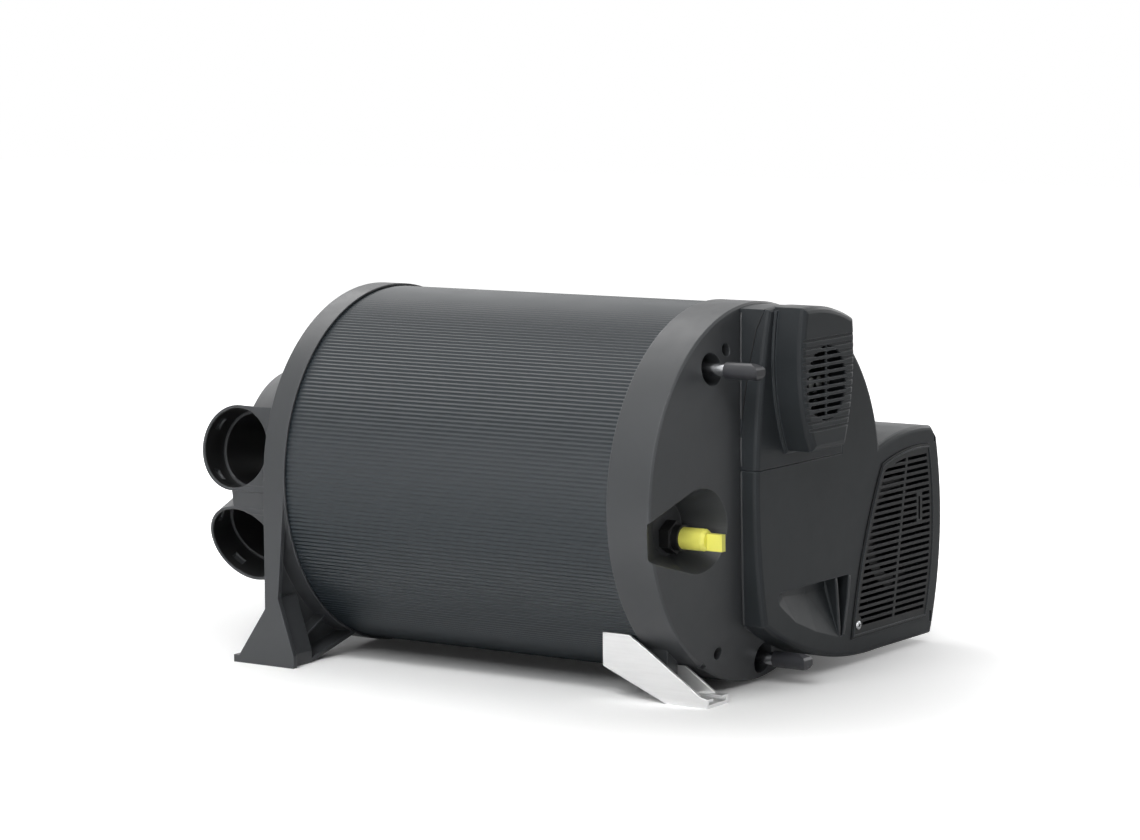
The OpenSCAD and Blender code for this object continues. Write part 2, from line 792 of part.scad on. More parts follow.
// The moulded shoe that stands in the bracket's channel
module bracket_shoe() {
    difference() {
        along_y(shoe_y1 - shoe_w, shoe_w)
            polygon([
                [shoe_x0, channel_z(shoe_x0) + channel_lift], [shoe_x1, channel_z(shoe_x1) + channel_lift],
                [shoe_x1, -ring_r * 0.6], [shoe_x0, -ring_r * 0.6]
            ]);
        rod_x(shoe_x0 - 1, shoe_x1 - shoe_x0 + 2, ring_r - 1);
        at_bracket_screw() cylinder(h = 14, r = 2 + run_gap);
    }
}

module at_bracket_screw() {
    translate([bracket_screw_x, shoe_y1 - shoe_w / 2, channel_z(bracket_screw_x)])
        rotate([0, bracket_slope, 0])
            children();
}

module front_cap() color("#4d4f51") on_drum() {
    difference() {
        union() {
            difference() {
                cap_form(0, ring_x0);
                intersection() {
                    translate([-cap_wall, 0, 0]) cap_form(0, ring_x0);
                    rod_x(front_seat_x - 1, face_rise + front_ring_w, gasket_in_r);
                }
                rod_x(ring_x0 - 1, front_seat_x - ring_x0 + 1, lip_r);
            }
            intersection() {
                cap_form(0, front_seat_x);
                union() {
                    recess_form(cap_wall);
                    for (at = [hot_at, cold_at])
                        rod_x(collar_x, tip_x, water_hole_r + collar_wall, at);
                    for (at = cap_screw_at)
                        rod_x(screw_floor_x - 3, tip_x, screw_hole_r + collar_wall, at);
                }
            }
            bracket_shoe();
            for (at = board_post_at)
                rod_x(face_x(norm(at)) - 1, board_x - face_x(norm(at)) + 1, board_post_r, at);
        }
        recess_form(0);
        rod_x(recess_floor_x - cap_wall - 1, cap_wall + 2, gas_pipe_r + run_gap, gas_at);
        for (at = [hot_at, cold_at])
            rod_x(collar_x - 1, tip_x, water_hole_r, at);
        for (at = cap_screw_at) {
            rod_x(screw_floor_x, tip_x, screw_hole_r, at);
            rod_x(screw_floor_x - 4, 5, 2.5 + run_gap, at);
        }
        for (at = board_post_at)
            rod_x(board_x - 5, 6, 1.5 + run_gap, at);
        rotate([ring_notch_a, 0, 0]) translate([ring_x1 - 5, -3, -ring_r - 1]) cube([7, 6, 4]);
    }
}

module cap_screws() color("#8f9496") on_drum()
    for (at = cap_screw_at) {
        rod_x(screw_floor_x, 4, screw_hole_r - 0.5, at);
        rod_x(screw_floor_x - 18, 18, 2.5, at);
    }

// An aluminium channel with a tall outer flange, a low inner flange and a flat toe
module front_bracket() color("#e8eaea") on_drum() {
    knee_x = bracket_x0 + 24;
    rise_z = floor_z + bracket_rise;
    high_z = floor_z + bracket_h;
    low_z = rise_z + 1;
    toe_z = floor_z + toe_h;
    hole_y = -bracket_y + bracket_w / 2;
    lip_x = bracket_heel + 14;
    difference() {
        union() {
            along_y(-bracket_y, bracket_t)
                polygon([
                    [bracket_x0, rise_z], [bracket_x0, high_z], [knee_x, high_z], [knee_x + 18, high_z - 11],
                    [bracket_x1 - 7, toe_z + 1.5], [bracket_x1, toe_z], [bracket_x1, floor_z],
                    [bracket_heel, floor_z]
                ]);
            along_y(-bracket_y + bracket_w - bracket_t, bracket_t)
                polygon([
                    [bracket_x0, rise_z], [bracket_x0 + 8, low_z], [bracket_heel, low_z],
                    [bracket_x1 - 10, toe_z], [bracket_x1, toe_z], [bracket_x1, floor_z],
                    [bracket_heel, floor_z]
                ]);
            along_y(-bracket_y, bracket_w)
                polygon([
                    [bracket_x0, rise_z], [bracket_heel, floor_z], [bracket_x1, floor_z],
                    [bracket_x1, floor_z + bracket_t], [bracket_heel, floor_z + channel_lift],
                    [bracket_x0, rise_z + channel_lift]
                ]);
            for (y = [-bracket_y, -bracket_y + bracket_w - 8])
                translate([lip_x, y, toe_z - 2]) cube([bracket_x1 - lip_x, 8, 2]);
        }
        translate([bracket_hole_x, hole_y, floor_z - 1]) cylinder(h = toe_h + 2, r = foot_hole_r);
        at_bracket_screw() translate([0, 0, -5]) cylinder(h = 12, r = 2 + run_gap);
    }
}

module bracket_screw() color("#8f9496") on_drum()
    at_bracket_screw() {
        cylinder(h = 13, r = 2);
        translate([0, 0, -2]) cylinder(h = 2, r = 4);
    }

// A disc with a rounded front edge, between two stations along X
module puck(arc, inset, x0, x1, round_r) {
    r = arc[2] - inset;
    translate([0, arc[0], arc[1]])
        rotate([0, 90, 0])
            rotate_extrude($fn = fine)
                polygon(concat(
                    [[0, x0], [r, x0]],
                    [for (a = [0 : 30 : 90]) [r - round_r * (1 - cos(a)), x1 - round_r * (1 - sin(a))]],
                    [[0, x1]]
                ));
}

// A block above a flat underside with a rounded front edge, between two stations along X
module flat_base(y, z, x0, x1, round_r) {
    along_y(y, 5 * ring_r)
        polygon(concat(
            [[x0, 2 * ring_r], [x0, z]],
            [for (a = [0 : 30 : 90]) [x1 - round_r * (1 - sin(a)), z + round_r * (1 - cos(a))]],
            [[x1, 2 * ring_r]]
        ));
}

// The housing as a closed form: the drum side and the fan side, shrunk by a wall
module drum_side(w, x0) {
    intersection_for (arc = [drum_arc, left_arc, bottom_arc])
        puck(arc, w, x0, housing_x - w, max(edge_r - w, 0.5));
}

module fan_side(w, x0) {
    intersection() {
        intersection_for (arc = [left_arc, right_arc, top_arc, upper_corner_arc, lower_corner_arc])
            puck(arc, w, x0, housing_x - w, max(edge_r - w, 0.5));
        union() {
            puck(bottom_arc, w, x0, housing_x - w, max(edge_r - w, 0.5));
            flat_base(flat_y, housing_low + w, x0, housing_x - w, max(edge_r - w, 0.5));
        }
    }
}

// The grille's outline, shrunk by a margin
module grille_outline(m) {
    intersection() {
        intersection_for (arc = [right_arc, top_arc])
            translate([arc[0], arc[1]]) circle(r = arc[2] - grille_margin - m, $fn = fine);
        translate([grille_arc[0], grille_arc[1]]) circle(r = grille_arc[2] - m, $fn = fine);
        translate([0, housing_low + grille_margin + m]) square(2 * fan_y);
    }
}

// The hand grip in the housing's face: a scoop, deepest along its top edge, and a finger pocket
module grip_form(grow) {
    top = -76;
    low = top - 48;
    tip_d = 5;
    scoop_d = 10;
    pocket_d = 13;
    rim_y = 74;
    lean = 5;
    pocket_y = 95;
    hull() {
        along_x(housing_x - grow, 6 + grow)
            offset(delta = grow)
                polygon([
                    [-8, top], [-11, top - 4], [-10.5, top - 9], [-5.5, top - 13],
                    [15, top - 27], [45, top - 38.5], [rim_y + lean, low], [rim_y, top]
                ]);
        translate([housing_x - tip_d - grow, 2, top - 5 - grow]) cube([tip_d, 1, 5 + 2 * grow]);
        translate([housing_x - scoop_d - grow, 45, top - 9 - grow])
            cube([scoop_d, rim_y - 45 + grow, 9 + 2 * grow]);
    }
    along_x(housing_x - pocket_d - grow, pocket_d + 6 + grow)
        offset(delta = grow)
            polygon([
                [rim_y + 3, top], [pocket_y, top], [pocket_y - 3, top - 20],
                [rim_y + lean + 6, low], [rim_y + lean + 3, low]
            ]);
}

// The space of the electronics cover: its rear edge curves forward towards the top
module cover_zone(gap) {
    edge_h = ring_r - cover_z;
    rear_edge = [[0, 0], [2, 0.3], [4.5, 0.62], [7, 0.85], [13, 1]];
    along_y(-ring_r, ring_r + cover_y + gap)
        polygon(concat(
            [for (p = rear_edge) [tip_x - 3 - gap + p[0], cover_z - gap + (edge_h + gap) * p[1]]],
            [[box_x + 20, ring_r], [box_x + 20, cover_z - gap]]
        ));
}

module housing_shell() {
    difference() {
        union() {
            drum_side(0, ring_x0);
            difference() {
                fan_side(0, fan_back_x);
                rod_x(fan_back_x - 1, ring_x1 - fan_back_x + 1, ring_r + play);
            }
        }
        drum_side(housing_wall, ring_x0 - 1);
        difference() {
            fan_side(housing_wall, fan_back_x + housing_wall);
            rod_x(fan_back_x - 1, ring_x1 - fan_back_x + 1, ring_r + play + housing_wall);
        }
        cap_form(play, ring_x0 - 2);
    }
}

module fan_housing() color("#3b3c3e") on_drum()
    difference() {
        union() {
            difference() {
                housing_shell();
                cover_zone(cover_gap);
            }
            intersection() {
                grip_form(2.5);
                drum_side(0, ring_x0);
            }
            translate([fan_back_x + 2, fan_foot_y, floor_z]) cube([fan_foot_l, fan_foot_w, fan_foot_h]);
        }
        grip_form(0);
        along_x(housing_x - grille_seat, grille_seat + 1) grille_outline(-play);
        along_x(housing_x - 2 * housing_wall, 3 * housing_wall) grille_outline(4);
        rod_x(housing_x - grille_seat - 3, 4, 2 + run_gap, grille_screw_at);
        for (at = clip_slot_at)
            along_x(housing_x - housing_wall + 1, housing_wall) translate(at) square(clip_slot);
    }

module fan_motor() color("#26282a") on_drum()
    translate([0, fan_y, -fan_drop])
        fan_motor_body(fan_motor_x, fan_motor_r, fan_motor_l, false);

module fan_wheel() color("#17181a") on_drum()
    translate([fan_wheel_x, fan_y, -fan_drop])
        cage_wheel(fan_r, fan_w, fan_blades, 1.5 + shaft_depth);

module grille_slots() {
    rib_top = [fan_y - 4, 18];
    rib_low = [fan_y - 30, -130];
    rows = ceil(200 / bar_pitch);
    difference() {
        intersection() {
            grille_outline(7);
            for (i = [0 : rows])
                translate([0, 20 - i * bar_pitch]) square([2 * fan_y, bar_gap]);
        }
        hull() {
            translate(rib_top) circle(r = 1.6);
            translate(rib_low) circle(r = 1.6);
        }
        translate([fan_y + 10, -49]) square([9, 25]);
        translate([grille_screw_at[0], grille_screw_at[1]]) circle(r = 7);
    }
    translate([fan_y + 13, -46]) square([2.6, 19]);
}

module intake_grille() color("#1f2021") on_drum()
    difference() {
        along_x(housing_x - grille_seat, grille_t) grille_outline(0);
        along_x(housing_x - grille_seat - 1, grille_t + 2) grille_slots();
        rod_x(housing_x - grille_seat - 1, grille_t + 2, 2 + run_gap, grille_screw_at);
    }

module grille_screw() color("#d9dcde") on_drum() {
    rod_x(housing_x - grille_seat - 2, grille_t + 2, 2, grille_screw_at);
    rod_x(housing_x - grille_seat + grille_t, 1.6, 3.6, grille_screw_at);
}

module control_board() color("#2d5a3d") on_drum()
    difference() {
        union() {
            translate([board_x, board_at[0], board_at[1]]) cube([board_t, board_w, board_h]);
            translate([board_x + board_t, board_at[0] + 8, board_at[1] + 25]) cube([10, 24, board_h - 44]);
            translate([board_x + board_t, board_at[0] + 26, board_at[1] + 11]) cube([8, 30, 12]);
            for (i = [0 : 2])
                rod_x(board_x + board_t, 12, 5, board_at + [40 + 12 * i, 49]);
        }
        for (at = board_post_at)
            rod_x(board_x - 1, board_t + 2, 1.5 + run_gap, at);
    }

module board_screws() color("#b8bcbe") on_drum()
    for (at = board_post_at) {
        rod_x(board_x - 4, board_t + 4, 1.5, at);
        rod_x(board_x + board_t, 1.5, 2.8, at);
    }

// The raised box as a closed form, shrunk by a wall
module box_form(m, x0) {
    intersection() {
        intersection_for (arc = concat(box_arcs, [[0, 0, ring_r - 1.5]]))
            puck(arc, m, x0, box_x - m, max(box_edge_r - m, 0.5));
        flat_base(-2 * ring_r, box_low + m, x0, box_x - m, max(box_edge_r - m, 0.5));
    }
}

// The low step around the foot of the raised box
module box_step() {
    intersection() {
        intersection_for (arc = box_arcs)
            puck(arc, -box_foot, housing_x - 1, housing_x + box_foot_t, box_foot_t - 0.5);
        rod_x(housing_x - 2, box_foot_t + 3, ring_r - 4);
        flat_base(-2 * ring_r, box_low - box_foot, housing_x - 1, housing_x + box_foot_t, box_foot_t - 0.5);
    }
}

module louvre_rows_2d(w, h) {
    for (i = [0 : louvre_rows - 1])
        translate([vent_at[0] - w / 2, vent_at[1] + (i - (louvre_rows - 1) / 2) * louvre_pitch - h / 2])
            square([w, h]);
}

module electronics_cover() color("#444546") on_drum()
    difference() {
        union() {
            intersection() {
                housing_shell();
                cover_zone(0);
            }
            box_form(0, housing_x - 2);
            box_step();
        }
        box_form(box_wall, housing_x - 10);
        along_x(box_x - groove_d, groove_d + 1) louvre_rows_2d(ring_r, groove_h);
        along_x(box_x - 2 * box_wall, 3 * box_wall)
            difference() {
                intersection() {
                    translate(vent_at) circle(r = vent_r);
                    louvre_rows_2d(2 * vent_r, louvre_slot_h);
                }
                translate([vent_at[0] - vent_rib / 2, vent_at[1] - 2 * vent_r]) square([vent_rib, 4 * vent_r]);
            }
    }

module exhaust_tube() color("#b4b8ba") on_drum()
    difference() {
        rod_y(core_r - 2, flue_reach - core_r + 2, exhaust_r, [flue_x, 0]);
        rod_y(0, flue_reach + 1, exhaust_r - flue_wall, [flue_x, 0]);
    }

module combustion_air_tube() color("#1d1e20") on_drum()
    difference() {
        union() {
            rod_y(tank_r + 8, flue_seat_y - tank_r - 8, flue_collar_r, [flue_x, 0]);
            rod_y(flue_seat_y - 1, flue_reach - 9 - flue_seat_y, intake_r, [flue_x, 0]);
            intersection() {
                rod_y(0, flue_reach, flue_flange_r, [flue_x, 0]);
                tube_x(flue_x - flue_flange_r, 2 * flue_flange_r, ring_r + 2, lip_r);
            }
        }
        rod_y(0, flue_reach, intake_r - flue_wall, [flue_x, 0]);
    }

jacket();
insulation_upper();
insulation_lower();
water_tank();
heat_exchanger();
burner_tube();
ignition_electrode();
blower_housing();
blower_wheel();
blower_motor();
gas_valve();
gas_pipe();
gas_nut();
gas_cap();
hot_fitting();
hot_pipe();
hot_grommet();
hot_cap();
cold_fitting();
cold_pipe();
cold_grommet();
cold_cap();
temperature_sensor();
overheat_switch();
rear_cap();
rear_gasket();
air_distributor();
distributor_screws();
front_cap();
front_gasket();
cap_screws();
front_bracket();
bracket_screw();
fan_housing();
fan_motor();
fan_wheel();
intake_grille();
grille_screw();
control_board();
board_screws();
electronics_cover();
exhaust_tube();
combustion_air_tube();
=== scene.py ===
import json
import math
import bmesh
import bpy
from mathutils import Matrix, Vector
from mathutils.bvhtree import BVHTree


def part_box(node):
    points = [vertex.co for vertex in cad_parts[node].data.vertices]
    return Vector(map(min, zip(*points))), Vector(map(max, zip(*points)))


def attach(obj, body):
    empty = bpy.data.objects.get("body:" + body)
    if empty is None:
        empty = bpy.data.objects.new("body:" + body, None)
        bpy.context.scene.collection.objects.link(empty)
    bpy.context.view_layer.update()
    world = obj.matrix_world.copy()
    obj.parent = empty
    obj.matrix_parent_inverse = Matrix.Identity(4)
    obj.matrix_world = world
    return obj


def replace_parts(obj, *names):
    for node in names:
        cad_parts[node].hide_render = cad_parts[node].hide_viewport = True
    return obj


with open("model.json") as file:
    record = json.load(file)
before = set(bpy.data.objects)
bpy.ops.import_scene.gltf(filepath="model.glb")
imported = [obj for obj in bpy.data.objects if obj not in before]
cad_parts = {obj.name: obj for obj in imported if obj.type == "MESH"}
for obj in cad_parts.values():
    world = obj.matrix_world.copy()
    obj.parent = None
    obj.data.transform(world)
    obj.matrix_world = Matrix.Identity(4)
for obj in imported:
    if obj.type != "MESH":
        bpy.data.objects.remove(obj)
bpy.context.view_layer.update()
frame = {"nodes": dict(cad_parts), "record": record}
nodes = frame["nodes"]
slot_of = {p["node"]: p["material_slot"] for p in frame["record"]["subparts"]}
scene = bpy.context.scene
scene.view_settings.view_transform = "Standard"

# The camera and the pieces are written in mm, the studio in metres
MM = 0.001
DRUM_X = 40.0
AXIS_H = 150.5

# Camera, fitted to a picture 1140 pixels wide
IMAGE_W, FOCAL_PX, SENSOR_W = 1140.0, 3663.2, 36.0
CAM_TURN, CAM_DIP, CAM_ROLL = 34.883, 6.948, -0.587
CAM_AT = (1883.03, -2391.92, 551.15)


def make_camera():
    turn, dip, roll = (math.radians(a) for a in (CAM_TURN, CAM_DIP, CAM_ROLL))
    ahead = Vector((-math.sin(turn) * math.cos(dip), math.cos(turn) * math.cos(dip), -math.sin(dip)))
    right = Vector((math.cos(turn), math.sin(turn), 0.0))
    up = right.cross(ahead)
    c, s = math.cos(roll), math.sin(roll)
    right, up = right * c + up * s, up * c - right * s
    data = bpy.data.cameras.new("camera")
    data.sensor_fit = "HORIZONTAL"
    data.sensor_width = SENSOR_W
    data.lens = FOCAL_PX / IMAGE_W * SENSOR_W
    data.clip_end = 50.0
    cam = bpy.data.objects.new("camera", data)
    scene.collection.objects.link(cam)
    m = Matrix((right, up, -ahead)).transposed().to_4x4()
    m.translation = Vector(CAM_AT) * MM
    cam.matrix_world = m
    scene.camera = cam


make_camera()


# Materials
class Tree:
    def __init__(self, tree):
        self.tree = tree
        tree.nodes.clear()

    def add(self, kind, **values):
        """A new node: in_NAME sets an input socket, any other name a property."""
        n = self.tree.nodes.new(kind)
        for k, v in values.items():
            if k.startswith("in_"):
                n.inputs[k[3:].replace("_", " ")].default_value = v
            else:
                setattr(n, k, v)
        return n

    def link(self, a, b):
        self.tree.links.new(a, b)


GRAIN_DEPTH = 0.0002
SMEAR_FINER = 5.0
# Colour gain on edges: partly wear, partly a painted highlight where rounded edges would catch the light
EDGE_WEAR_AND_HIGHLIGHT_GAIN = 2.8


def material(name, base, rough=0.5, spec=0.5, metal=0.0, vary=0.05, cloud=14.0, grain=1800.0, bump=0.12,
             rough_vary=0.04, stretch=(1.0, 1.0, 1.0), edge=0.0, edge_r=0.0007):
    """A moulded, pressed or drawn surface: cloudy colour, uneven gloss, a fine grain, and edges painted
    lighter, partly as wear and partly as a painted highlight.
    """
    mat = bpy.data.materials.new(name)
    mat.use_nodes = True
    t = Tree(mat.node_tree)
    out = t.add("ShaderNodeOutputMaterial")
    bsdf = t.add("ShaderNodeBsdfPrincipled", in_Metallic=metal, in_Specular_IOR_Level=spec)
    t.link(bsdf.outputs[0], out.inputs[0])
    coord = t.add("ShaderNodeTexCoord")
    scaled = t.add("ShaderNodeMapping", vector_type="POINT", in_Scale=stretch)
    t.link(coord.outputs["Object"], scaled.inputs["Vector"])
    clouds = t.add("ShaderNodeTexNoise", in_Scale=cloud, in_Detail=5.0, in_Roughness=0.6)
    t.link(scaled.outputs[0], clouds.inputs["Vector"])
    ramp = t.add("ShaderNodeValToRGB")
    dark, light = ramp.color_ramp.elements
    dark.position, light.position = 0.3, 0.7
    dark.color = [c * (1.0 - vary) for c in base] + [1.0]
    light.color = [min(1.0, c * (1.0 + vary)) for c in base] + [1.0]
    t.link(clouds.outputs["Fac"], ramp.inputs["Fac"])
    smears = t.add("ShaderNodeTexNoise", in_Scale=cloud * SMEAR_FINER, in_Detail=4.0)
    t.link(scaled.outputs[0], smears.inputs["Vector"])
    gloss = t.add("ShaderNodeMapRange", in_From_Min=0.3, in_From_Max=0.7,
                  in_To_Min=max(0.02, rough - rough_vary), in_To_Max=min(1.0, rough + rough_vary))
    t.link(smears.outputs["Fac"], gloss.inputs["Value"])
    t.link(gloss.outputs["Result"], bsdf.inputs["Roughness"])
    fine = t.add("ShaderNodeTexNoise", in_Scale=grain, in_Detail=2.0)
    t.link(scaled.outputs[0], fine.inputs["Vector"])
    relief = t.add("ShaderNodeBump", in_Strength=bump, in_Distance=GRAIN_DEPTH)
    t.link(fine.outputs["Fac"], relief.inputs["Height"])
    t.link(relief.outputs["Normal"], bsdf.inputs["Normal"])
    if edge == 0.0:
        t.link(ramp.outputs["Color"], bsdf.inputs["Base Color"])
        return mat
    # Lighter edges: partly wear, partly a painted highlight standing in for light caught by rounded edges
    rounded = t.add("ShaderNodeBevel", samples=4, in_Radius=edge_r)
    t.link(rounded.outputs["Normal"], relief.inputs["Normal"])
    flat = t.add("ShaderNodeNewGeometry")
    facing = t.add("ShaderNodeVectorMath", operation="DOT_PRODUCT")
    t.link(rounded.outputs["Normal"], facing.inputs[0])
    t.link(flat.outputs["Normal"], facing.inputs[1])
    wear_and_highlight_mask = t.add("ShaderNodeMapRange", in_From_Min=0.99, in_From_Max=0.8, in_To_Min=0.0, in_To_Max=edge)
    t.link(facing.outputs["Value"], wear_and_highlight_mask.inputs["Value"])
    wear_and_highlight_colour = t.add("ShaderNodeMix", data_type="RGBA")
    t.link(wear_and_highlight_mask.outputs["Result"], wear_and_highlight_colour.inputs["Factor"])
    t.link(ramp.outputs["Color"], wear_and_highlight_colour.inputs["A"])
    wear_and_highlight_colour.inputs["B"].default_value = [min(1.0, c * EDGE_WEAR_AND_HIGHLIGHT_GAIN) for c in base] + [1.0]
    t.link(wear_and_highlight_colour.outputs["Result"], bsdf.inputs["Base Color"])
    return mat


# edge sets how much lighter the edges are painted: partly wear, partly a painted highlight, strongest on
# the dark housing
MATS = {
    "jacket": material("jacket_lacquer", (0.0134, 0.0192, 0.0240), rough=0.42, spec=0.54, vary=0.03,
                       grain=2600, bump=0.05, rough_vary=0.02, stretch=(0.4, 1.0, 1.0)),
    "moulding": material("grey_moulding", (0.0455, 0.0485, 0.0520), rough=0.42, vary=0.04,
                         edge=0.6, edge_r=0.0012),
    "housing": material("dark_moulding", (0.0280, 0.0318, 0.0352), rough=0.38, spec=0.22, vary=0.04,
                        edge=1.0, edge_r=0.0012),
    "grille": material("black_moulding", (0.0075, 0.0085, 0.0096), rough=0.42, spec=0.3, vary=0.06,
                       edge=0.5, edge_r=0.0005),
    "rubber": material("rubber", (0.0070, 0.0070, 0.0074), rough=0.66, spec=0.4, vary=0.15, bump=0.2),
    "black_plastic": material("black_plastic", (0.0085, 0.0088, 0.0092), rough=0.4, vary=0.1, edge=0.4),
    "yellow_cap": material("yellow_plastic", (0.97, 0.93, 0.17), rough=0.42, vary=0.03, cloud=60,
                           edge=0.15),
    "grey_cap": material("grey_plastic", (0.034, 0.035, 0.040), rough=0.36, vary=0.06, cloud=60, edge=0.3),
    "bracket": material("pressed_aluminium", (0.80, 0.80, 0.80), rough=0.42, metal=1.0, vary=0.03, cloud=30,
                        stretch=(1.0, 1.0, 14.0), grain=500, bump=0.06, edge=0.3),
    "steel": material("bright_steel", (0.62, 0.63, 0.65), rough=0.22, metal=1.0, vary=0.05, cloud=60,
                      stretch=(0.2, 1.0, 1.0), edge=0.3),
    "cast_alloy": material("cast_alloy", (0.42, 0.43, 0.42), rough=0.5, metal=1.0, vary=0.1, bump=0.4),
    "brass": material("turned_brass", (0.60, 0.45, 0.17), rough=0.3, metal=1.0, vary=0.08, edge=0.3),
    "foam": material("rigid_foam", (0.66, 0.64, 0.58), rough=0.9, spec=0.2, vary=0.08, bump=0.6),
    "ceramic": material("glazed_ceramic", (0.76, 0.73, 0.66), rough=0.2, vary=0.05),
    "board": material("board_lacquer", (0.006, 0.024, 0.013), rough=0.35, vary=0.25, cloud=160),
}

for name, obj in nodes.items():
    obj.data.materials.clear()
    obj.data.materials.append(MATS[slot_of[name]])

# Pieces
SHARP_DEG, ROUND_STEPS = 35.0, 24


def piece(name, bm, slot, body):
    mesh = bpy.data.meshes.new(name)
    bmesh.ops.recalc_face_normals(bm, faces=bm.faces)
    bm.to_mesh(mesh)
    bm.free()
    mesh.polygons.foreach_set("use_smooth", [True] * len(mesh.polygons))
    mesh.set_sharp_from_angle(angle=math.radians(SHARP_DEG))
    mesh.materials.append(MATS[slot])
    obj = bpy.data.objects.new(name, mesh)
    scene.collection.objects.link(obj)
    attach(obj, body)
    return obj


def ring_of(bm, points):
    return [bm.verts.new(Vector(p) * MM) for p in points]


def pairs(loop):
    """Each item of a closed loop with the next one."""
    return zip(loop, loop[1:] + loop[:1])


def skin(bm, a, b):
    for (p, q), (r, s) in zip(pairs(a), pairs(b)):
        bm.faces.new((p, q, s, r))


def circle(bm, x, y, z, r):
    """A ring of points round an axis along X."""
    turns = [math.tau * i / ROUND_STEPS for i in range(ROUND_STEPS)]
    return ring_of(bm, [(x, y + r * math.cos(a), z + r * math.sin(a)) for a in turns])


def node_mesh(node):
    bm = bmesh.new()
    bm.from_mesh(nodes[node].data)
    return bm


def welded(node):
    bm = node_mesh(node)
    bmesh.ops.remove_doubles(bm, verts=bm.verts, dist=1e-6)
    return bm


# Screws along X: a shank, a rounded pan head and a cross recess
HEAD_PROFILE = ((1.0, 0.0), (1.0, 0.4), (0.94, 0.7), (0.82, 0.9), (0.66, 1.0))
CROSS_ARM, CROSS_HALF, CROSS_TAPER, CROSS_FLOOR = 0.52, 0.11, 0.72, 0.25
TIP_SHARE, TIP_L = 0.7, 0.8
FIRST_TURN, TURN_STEP = 0.35, 0.9


def cross(bm, x, y, z, head_r, turn, share):
    arm, half = CROSS_ARM * head_r * share, CROSS_HALF * head_r * share
    flat = [(arm, -half), (arm, half), (half, half), (half, arm), (-half, arm), (-half, half),
            (-arm, half), (-arm, -half), (-half, -half), (-half, -arm), (half, -arm), (half, -half)]
    c, s = math.cos(turn), math.sin(turn)
    return ring_of(bm, [(x, y + c * p - s * q, z + s * p + c * q) for p, q in flat])


def screw(bm, tip, seat, out, y, z, shank_r, head_r, head_h, turn):
    loops = [circle(bm, tip, y, z, shank_r * TIP_SHARE), circle(bm, tip + TIP_L * out, y, z, shank_r),
             circle(bm, seat, y, z, shank_r)]
    for share, rise in HEAD_PROFILE:
        loops.append(circle(bm, seat + out * head_h * rise, y, z, head_r * share))
    bm.faces.new(loops[0])
    for a, b in zip(loops, loops[1:]):
        skin(bm, a, b)
    mouth = cross(bm, seat + out * head_h, y, z, head_r, turn, 1.0)
    floor = cross(bm, seat + out * head_h * CROSS_FLOOR, y, z, head_r, turn, CROSS_TAPER)
    edges = [bm.edges.get(ab) or bm.edges.new(ab) for loop in (loops[-1], mouth) for ab in pairs(loop)]
    bmesh.ops.bridge_loops(bm, edges=edges)
    skin(bm, mouth, floor)
    bm.faces.new(floor)


def loose_boxes(node):
    """The lowest and highest corners of each loose solid of a CAD node."""
    bm = welded(node)
    found, seen = [], set()
    for v in bm.verts:
        if v in seen:
            continue
        seen.add(v)
        todo, points = [v], []
        while todo:
            u = todo.pop()
            points.append(u.co / MM)
            near = [e.other_vert(u) for e in u.link_edges]
            todo += [w for w in near if w not in seen]
            seen.update(near)
        found.append(([min(axis) for axis in zip(*points)], [max(axis) for axis in zip(*points)]))
    bm.free()
    return found


def screws(node, out, head_h, shank_r):
    """Crossed screws in the places of a node's own; out is 1 for heads that face the front, or -1."""
    bm = bmesh.new()
    for i, (low, high) in enumerate(loose_boxes(node)):
        tip, top = (low[0], high[0]) if out > 0 else (high[0], low[0])
        screw(bm, tip, top - out * head_h, out, (low[1] + high[1]) / 2, (low[2] + high[2]) / 2,
              shank_r, (high[1] - low[1]) / 2, head_h, FIRST_TURN + TURN_STEP * i)
    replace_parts(piece(node + "_crossed", bm, slot_of[node], "heater"), node)


screws("grille_screw", 1, 1.6, 2.0)
screws("distributor_screws", -1, 2.5, 2.0)
screws("cap_screws", 1, 4.0, 2.5)
screws("board_screws", 1, 1.5, 1.5)

# Warm-air outlets: a black lock-ring lining with two clip windows, whose black is partly its own colour and
# partly painted shade inside the mouth, and a black tube behind the stop that is painted shade darkening
# the throat
OUTLET_X, MOUTH_R, DUCT_R, DUCT_DEPTH, STOP_R = -57.0, 141.0, 32.5, 24.0, 30.0
OUTLET_TILTS = (9.5, -23.5)
LINING_GAP, LINING_T = 0.06, 0.4
LINING_STEPS, WINDOW_ROW, WINDOW_HALF = 72, 1, 10.0
WINDOWS = (135.0, 215.0)


def lining_and_painted_shade(bm, side, tilt, radius, stations, windows):
    t = math.radians(tilt)
    out = Vector((0.0, -side * math.cos(t), math.sin(t)))
    up = Vector((0.0, side * math.sin(t), math.cos(t)))
    turns = [math.tau * i / LINING_STEPS for i in range(LINING_STEPS)]
    grid = []
    for depth in stations:
        middle = Vector((DRUM_X + OUTLET_X, 0.0, AXIS_H)) + out * (MOUTH_R - depth)
        grid.append(ring_of(bm, [middle + Vector((math.cos(a), 0.0, 0.0)) * radius
                                 - up * (math.sin(a) * radius) for a in turns]))
    for j in range(len(stations) - 1):
        for i in range(LINING_STEPS):
            a = 360.0 * (i + 0.5) / LINING_STEPS
            if j == WINDOW_ROW and any(abs(a - w) < WINDOW_HALF for w in windows):
                continue
            k = (i + 1) % LINING_STEPS
            bm.faces.new((grid[j][i], grid[j][k], grid[j + 1][k], grid[j + 1][i]))


